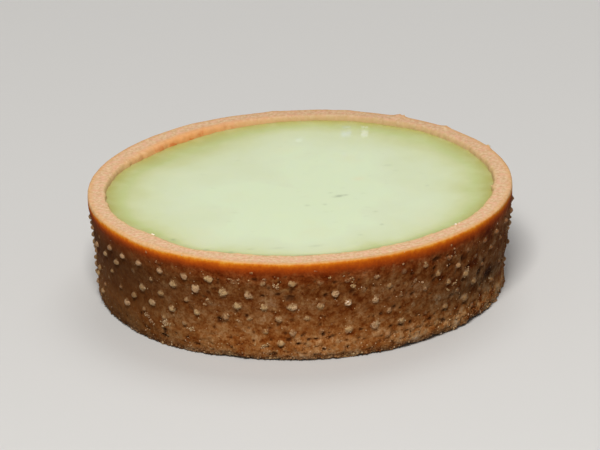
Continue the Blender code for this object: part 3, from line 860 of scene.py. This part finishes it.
class Nodes:
    def __init__(self, name):
        self.mat = bpy.data.materials.new(name)
        self.mat.use_nodes = True
        self.t = self.mat.node_tree
        self.bsdf = self.t.nodes["Principled BSDF"]

    def new(self, kind, **props):
        n = self.t.nodes.new(kind)
        for k, v in props.items():
            setattr(n, k, v)
        return n

    def link(self, a, b):
        self.t.links.new(a, b)

    def attr(self, name):
        n = self.new("ShaderNodeAttribute")
        n.attribute_name = name
        return n.outputs["Fac"]

    def coords(self):
        return self.new("ShaderNodeTexCoord").outputs["Object"]

    def noise(self, vec, scale, detail=3.0, rough=0.55):
        n = self.new("ShaderNodeTexNoise")
        n.inputs["Scale"].default_value = scale
        n.inputs["Detail"].default_value = detail
        n.inputs["Roughness"].default_value = rough
        self.link(vec, n.inputs["Vector"])
        return n.outputs["Fac"]

    def cells(self, vec, scale):
        """A random value for each grain, and the distance to its middle."""
        n = self.new("ShaderNodeTexVoronoi")
        n.inputs["Scale"].default_value = scale
        self.link(vec, n.inputs["Vector"])
        s = self.new("ShaderNodeSeparateColor")
        self.link(n.outputs["Color"], s.inputs["Color"])
        return s.outputs[0], n.outputs["Distance"]

    def math(self, op, a, b=None, clamp=False):
        n = self.new("ShaderNodeMath", operation=op, use_clamp=clamp)
        for i, v in enumerate((a, b)):
            if v is None:
                continue
            if isinstance(v, (int, float)):
                n.inputs[i].default_value = v
            else:
                self.link(v, n.inputs[i])
        return n.outputs[0]

    def remap(self, v, a, b, c=0.0, d=1.0):
        n = self.new("ShaderNodeMapRange")
        n.interpolation_type = "SMOOTHSTEP"
        for k, x in (("From Min", a), ("From Max", b), ("To Min", c),
                     ("To Max", d)):
            n.inputs[k].default_value = x
        self.link(v, n.inputs["Value"])
        return n.outputs["Result"]

    def ramp(self, fac, stops):
        n = self.new("ShaderNodeValToRGB")
        e = n.color_ramp.elements
        while len(e) < len(stops):
            e.new(0.5)
        for i, (p, c) in enumerate(stops):
            e[i].position = p
            e[i].color = c
        self.link(fac, n.inputs["Fac"])
        return n.outputs["Color"]

    def mix(self, fac, a, b, blend="MIX"):
        n = self.new("ShaderNodeMix", data_type="RGBA", blend_type=blend)
        n.clamp_result = False
        for sock, v in ((n.inputs[0], fac), (n.inputs[6], a), (n.inputs[7], b)):
            if isinstance(v, (int, float)):
                sock.default_value = v
            elif isinstance(v, tuple):
                sock.default_value = v
            else:
                self.link(v, sock)
        return n.outputs[2]

    def scale(self, col, fac):
        """Colour times a varying factor."""
        n = self.new("ShaderNodeVectorMath", operation="SCALE")
        self.link(col, n.inputs[0])
        self.link(fac, n.inputs["Scale"])
        return n.outputs[0]

    def bump(self, height, strength, distance, normal=None):
        n = self.new("ShaderNodeBump")
        n.inputs["Strength"].default_value = strength
        n.inputs["Distance"].default_value = distance
        self.link(height, n.inputs["Height"])
        if normal is not None:
            self.link(normal, n.inputs["Normal"])
        return n.outputs["Normal"]


# Baked colour of the wall from foot to lip: height in mm, colour.
CRUST_BANDS = ((0.0, (131, 88, 51)), (2.4, (141, 91, 47)),
               (4.2, (141, 88, 44)), (7.0, (128, 79, 39)),
               (11.0, (110, 65, 31)), (15.0, (102, 58, 25)),
               (17.0, (113, 56, 21)), (18.0, (118, 49, 14)),
               (18.7, (149, 62, 13)), (19.25, (174, 82, 13)),
               (19.6, (193, 109, 22)), (19.8, (197, 129, 45)),
               (20.0, (200, 147, 74)))


def baked(m, vec, h, amount):
    """Colour by height, with the boundaries blurred by noise."""
    wob = m.noise(vec, 1300.0, 3.0)
    wob2 = m.noise(vec, 230.0, 2.0)
    hh = m.math("ADD", h, m.math("MULTIPLY", m.math("SUBTRACT", wob, 0.5),
                                 1.1 * amount))
    hh = m.math("ADD", hh, m.math("MULTIPLY", m.math("SUBTRACT", wob2, 0.5),
                                  0.9 * amount))
    fac = m.math("DIVIDE", hh, 20.0, clamp=True)
    return m.ramp(fac, [(z / 20.0, lin(*c)) for z, c in CRUST_BANDS])


def toned(m, col, tone):
    """Lighter crumb is also paler, and darker crumb redder."""
    n = m.new("ShaderNodeCombineColor")
    tone = m.math("MAXIMUM", tone, 0.3)
    for i, power in enumerate((0.62, 1.16, 1.95)):
        m.link(m.math("POWER", tone, power), n.inputs[i])
    return m.mix(1.0, col, n.outputs[0], "MULTIPLY")


def patchy(m, vec, wall, col):
    """Lighter and darker patches a few millimetres wide."""
    wall = m.math("MULTIPLY", wall, m.attr("patch"))
    tone = m.math("ADD", m.remap(m.noise(vec, 560.0, 2.0), 0.3, 0.7, -0.24, 0.24),
                  m.remap(m.noise(vec, 270.0, 2.0), 0.3, 0.7, -0.28, 0.28))
    tone = m.math("ADD", tone, m.remap(m.noise(vec, 120.0, 2.0), 0.3, 0.7,
                                       -0.18, 0.18))
    return toned(m, col, m.math("ADD", m.math("MULTIPLY", tone, wall), 1.0))


def pastry_material():
    m = Nodes("baked_pastry")
    vec = m.coords()
    h = m.attr("height")
    band = baked(m, vec, h, 0.8)
    # each grain of the crumb has its own shade
    g = m.noise(vec, 2600.0, 4.0, 0.65)
    g2 = m.noise(vec, 800.0, 3.0, 0.6)
    broad = m.noise(vec, 170.0, 3.0, 0.5)
    one, d1 = m.cells(vec, 2300.0)
    two, d2 = m.cells(vec, 1150.0)
    wall = m.remap(h, 18.6, 17.4, 0.12, 1.0)
    tone = m.math("ADD", m.remap(one, 0.0, 1.0, -0.22, 0.22),
                  m.remap(two, 0.0, 1.0, -0.22, 0.22))
    tone = m.math("ADD", tone, m.remap(g, 0.3, 0.7, -0.26, 0.26))
    tone = m.math("MULTIPLY", tone, m.math("MULTIPLY", wall, m.attr("fine")))
    body = toned(m, band, m.math("ADD", tone, 1.0))
    pale = m.math("MULTIPLY", m.remap(g2, 0.54, 0.74, 0.0, 0.4),
                  m.math("MULTIPLY", wall, m.attr("fine")))
    body = m.mix(pale, body, lin(152, 112, 66))
    body = patchy(m, vec, wall, body)
    # painted shade: pits, cracks and the gaps between grains are darker and redder
    body = m.mix(m.remap(m.attr("pit"), 0.05, 0.95, 0.0, 0.88), body,
                 lin(60, 27, 8))
    # uneven baking, with painted shade on the left and right flanks
    body = m.scale(body, m.attr("bake_and_side_shade"))
    dot = m.math("MULTIPLY", m.attr("dot"),
                 m.remap(m.math("ADD", g2, m.math("MULTIPLY", one, 0.3)),
                         0.4, 0.78, 0.5, 1.0))
    half = m.math("ADD", m.math("MULTIPLY", m.attr("bake_and_side_shade"), 0.55), 0.45)
    body = m.mix(dot, body, m.scale(m.mix(one, lin(150, 120, 83),
                                          lin(181, 152, 113)), half))
    # sandier towards the foot at the right
    body = m.mix(m.attr("sandy"), body, m.mix(1.0, body, (0.93, 1.19, 1.62, 1.0),
                                              "MULTIPLY"))
    # cut rim: fine grain, with pinkish and yellowish patches
    rg = m.noise(vec, 1500.0, 3.0, 0.6)
    rimcol = m.mix(m.remap(rg, 0.34, 0.66), lin(198, 160, 121),
                   lin(218, 189, 153))
    rimcol = m.mix(m.math("MULTIPLY", m.remap(m.noise(vec, 900.0, 3.0), 0.44,
                                              0.62), 0.5), rimcol,
                   lin(220, 166, 140))
    # painted shade: the rim's pores are darker
    rimcol = m.mix(m.math("MULTIPLY", m.attr("pore"), 0.4), rimcol,
                   lin(178, 130, 88))
    body = m.mix(m.attr("rim"), body, rimcol)
    # its inner edge is yellower, and toasted at the back left
    across = m.math("ADD", m.attr("across"),
                    m.math("MULTIPLY", m.math("SUBTRACT", g2, 0.5), 0.9))
    body = m.mix(m.math("MULTIPLY", m.attr("toast"),
                        m.remap(across, 2.4, 0.9, 0.0, 0.8)), body,
                 lin(222, 160, 102))
    toast = m.mix(m.remap(m.noise(vec, 420.0, 2.0), 0.5, 0.6),
                  lin(212, 146, 84), lin(200, 112, 48))
    body = m.mix(m.remap(across, 0.95, -0.05, 0.0, 0.85), body,
                 m.mix(m.attr("toast"), lin(202, 172, 120), toast))
    body = m.scale(body, m.attr("far"))
    m.link(body, m.bsdf.inputs["Base Color"])
    m.bsdf.inputs["Roughness"].default_value = 0.75
    m.bsdf.inputs["Specular IOR Level"].default_value = 0.02
    n1 = m.bump(d1, 0.3, 0.00008)
    n2 = m.bump(g, 0.4, 0.0001, n1)
    n3 = m.bump(g2, 0.5, 0.0002, n2)
    m.link(n3, m.bsdf.inputs["Normal"])
    return m.mat


def crumb_material():
    """Grains take the baked colour, and the paler ones stand out from it."""
    m = Nodes("pastry_crumb")
    vec = m.coords()
    s = m.attr("shade")
    g = m.noise(vec, 2200.0, 3.0, 0.6)
    h = m.attr("height")
    band = baked(m, vec, h, 0.8)
    band = toned(m, band, m.remap(g, 0.3, 0.7, 0.84, 1.3))
    band = patchy(m, vec, m.remap(h, 18.6, 17.4, 0.12, 1.0), band)
    # uneven baking, with painted shade on the left and right flanks
    band = m.scale(band, m.attr("bake_and_side_shade"))
    half = m.math("ADD", m.math("MULTIPLY", m.attr("bake_and_side_shade"), 0.55), 0.45)
    # the near-white top of this ramp is partly pale crumb, partly painted glint
    light = m.ramp(s, [(0.0, lin(138, 100, 60)), (0.5, lin(160, 126, 85)),
                       (0.8, lin(184, 154, 114)), (0.93, lin(208, 183, 145)),
                       (1.0, lin(246, 238, 222))])
    hue = m.mix(m.remap(m.noise(vec, 230.0, 1.0), 0.42, 0.58),
                (1.02, 0.98, 1.08, 1.0), (1.0, 1.0, 0.96, 1.0))
    light = m.mix(1.0, light, hue, "MULTIPLY")
    light = m.scale(light, m.remap(g, 0.3, 0.7, 0.86, 1.12))
    col = m.mix(m.remap(s, 0.2, 0.7, 0.0, 0.92), band, m.scale(light, half))
    m.link(col, m.bsdf.inputs["Base Color"])
    m.bsdf.inputs["Roughness"].default_value = 0.55
    m.bsdf.inputs["Specular IOR Level"].default_value = 0.1
    m.link(m.bump(g, 0.4, 0.0001), m.bsdf.inputs["Normal"])
    return m.mat


def cream_material():
    m = Nodes("pistachio_cream")
    vec = m.coords()
    big = m.noise(vec, 75.0, 3.0, 0.5)
    mid = m.noise(vec, 260.0, 3.0, 0.5)
    vary = m.remap(big, 0.2, 0.8, 0.66, 1.34)
    fac = m.math("DIVIDE", m.math("MULTIPLY", m.attr("edge"), vary), 20.0,
                 clamp=True)
    col = m.ramp(fac, [
        (0.0, lin(173, 166, 90)), (0.04, lin(175, 177, 105)),
        (0.08, lin(182, 187, 120)), (0.14, lin(188, 198, 135)),
        (0.225, lin(200, 207, 156)), (0.35, lin(207, 216, 175)),
        (0.53, lin(210, 220, 185)), (0.78, lin(212, 223, 191)),
        (1.0, lin(214, 227, 194))])
    col = m.mix(m.remap(mid, 0.45, 0.7, 0.0, 0.12), col, lin(222, 228, 192))
    col = m.mix(m.remap(big, 0.55, 0.75, 0.0, 0.2), col, lin(216, 212, 164))
    # painted shade along the cream's front edge
    col = m.mix(m.math("MULTIPLY", m.attr("line"), 0.55), col, lin(168, 170, 116))
    col = m.mix(m.attr("blush"), col, lin(228, 208, 168))
    col = m.mix(m.attr("fleck"), col, lin(138, 152, 116))
    m.link(col, m.bsdf.inputs["Base Color"])
    m.bsdf.inputs["Roughness"].default_value = 0.34
    m.bsdf.inputs["Specular IOR Level"].default_value = 0.3
    m.bsdf.inputs["Coat Weight"].default_value = 0.3
    m.bsdf.inputs["Coat Roughness"].default_value = 0.015
    m.bsdf.inputs["Subsurface Weight"].default_value = 0.3
    m.bsdf.inputs["Subsurface Radius"].default_value = (1.0, 1.1, 0.5)
    m.bsdf.inputs["Subsurface Scale"].default_value = 0.002
    m.link(m.bump(mid, 0.03, 0.0002), m.bsdf.inputs["Normal"])
    return m.mat


for ob, mat in ((crust, pastry_material()), (cream, cream_material())):
    ob.data.materials.append(mat)
crumbs = crumb_material()
for ob in (dot_crumbs, dot_knobs, wall_crumbs, foot_crumbs):
    ob.data.materials.append(crumbs)

for ob in (crust, dot_crumbs, dot_knobs, wall_crumbs, foot_crumbs):
    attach(ob, "root")
    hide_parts("crust")
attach(cream, "root")
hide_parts("filling")


# ---------------------------------------------------------------------------
# Floor, light and camera
# ---------------------------------------------------------------------------
me = bpy.data.meshes.new("floor")
s = 4.0
me.from_pydata([(-s, -s, 0), (s, -s, 0), (s, s, 0), (-s, s, 0)], [],
               [(0, 1, 2, 3)])
floor = bpy.data.objects.new("floor", me)
floor.location.z = -0.00002
bpy.context.scene.collection.objects.link(floor)
fm = Nodes("floor")
fm.bsdf.inputs["Base Color"].default_value = (0.6, 0.6, 0.595, 1)
fm.bsdf.inputs["Roughness"].default_value = 0.6
fm.bsdf.inputs["Specular IOR Level"].default_value = 0.2
floor.data.materials.append(fm.mat)

world = bpy.data.worlds.new("studio")
bpy.context.scene.world = world
world.use_nodes = True
bg = world.node_tree.nodes["Background"]
bg.inputs["Color"].default_value = (1.0, 0.99, 0.97, 1)
bg.inputs["Strength"].default_value = 0.165


def area(name, loc, target, size, power, colour=(1, 1, 1), size_y=None):
    li = bpy.data.lights.new(name, "AREA")
    li.shape = "RECTANGLE"
    li.size, li.size_y = size, size_y or size
    li.energy = power
    li.color = colour
    ob = bpy.data.objects.new(name, li)
    ob.location = loc
    d = Vector(target) - Vector(loc)
    ob.rotation_mode = "QUATERNION"
    ob.rotation_quaternion = d.to_track_quat("-Z", "Y")
    bpy.context.scene.collection.objects.link(ob)
    return ob


area("key", (-0.08, -0.72, 0.9), (0, 0, 0.01), 0.32, 13.0, (1.0, 0.97, 0.93))
area("top", (0.15, 0.5, 0.9), (0, 0, 0), 0.6, 2.86, (1.0, 0.98, 0.96))

# Fitted viewpoint: 1.2 m away, 22.2 degrees above the floor
D, ELEV, ROLL, F_PX = 1.2, math.radians(22.2), math.radians(-1.87), 6334.6
TX, TY = 2.955, 57.94
back = Vector((0, -math.cos(ELEV), math.sin(ELEV)))
pos = back * D


def glint(name, x, y, wide, high, power, colour):
    """A small lamp behind, where the cream at (x, y) mirrors it forward."""
    at = Vector((x, y, HEIGHT - FILL_DROP)) * MM
    view = (at - pos).normalized()
    away = Vector((view.x, view.y, -view.z))
    return area(name, at + away * 1.5, at, wide, power, colour, high)


for lamp in (glint("glint_right", 12.74, 28.74, 0.0028, 0.0028, 0.000095,
                   (0.7, 0.68, 1.0)),
             glint("glint_mid", 9.1, 29.65, 0.0044, 0.0028, 0.0001,
                   (0.23, 0.3, 1.0)),
             glint("glint_left", 0.0, 30.33, 0.003, 0.003, 0.00006,
                   (0.7, 0.8, 1.0))):
    lamp.visible_camera = False

right0, up0 = Vector((1, 0, 0)), Vector((0, math.sin(ELEV), math.cos(ELEV)))
right = right0 * math.cos(ROLL) + up0 * math.sin(ROLL)
up = -right0 * math.sin(ROLL) + up0 * math.cos(ROLL)
look = (-back - right * (TX / F_PX) + up * (TY / F_PX)).normalized()
zc = -look
xc = (right - zc * right.dot(zc)).normalized()
yc = zc.cross(xc)
cd = bpy.data.cameras.new("camera")
cd.lens = 36.0 * F_PX / 600.0
cd.sensor_width = 36.0
cd.clip_start, cd.clip_end = 0.05, 50.0
camera = bpy.data.objects.new("camera", cd)
camera.matrix_world = Matrix.Translation(pos) @ Matrix(
    (xc, yc, zc)).transposed().to_4x4()
bpy.context.scene.collection.objects.link(camera)
bpy.context.scene.camera = camera
bpy.context.scene.view_settings.view_transform = "Standard"
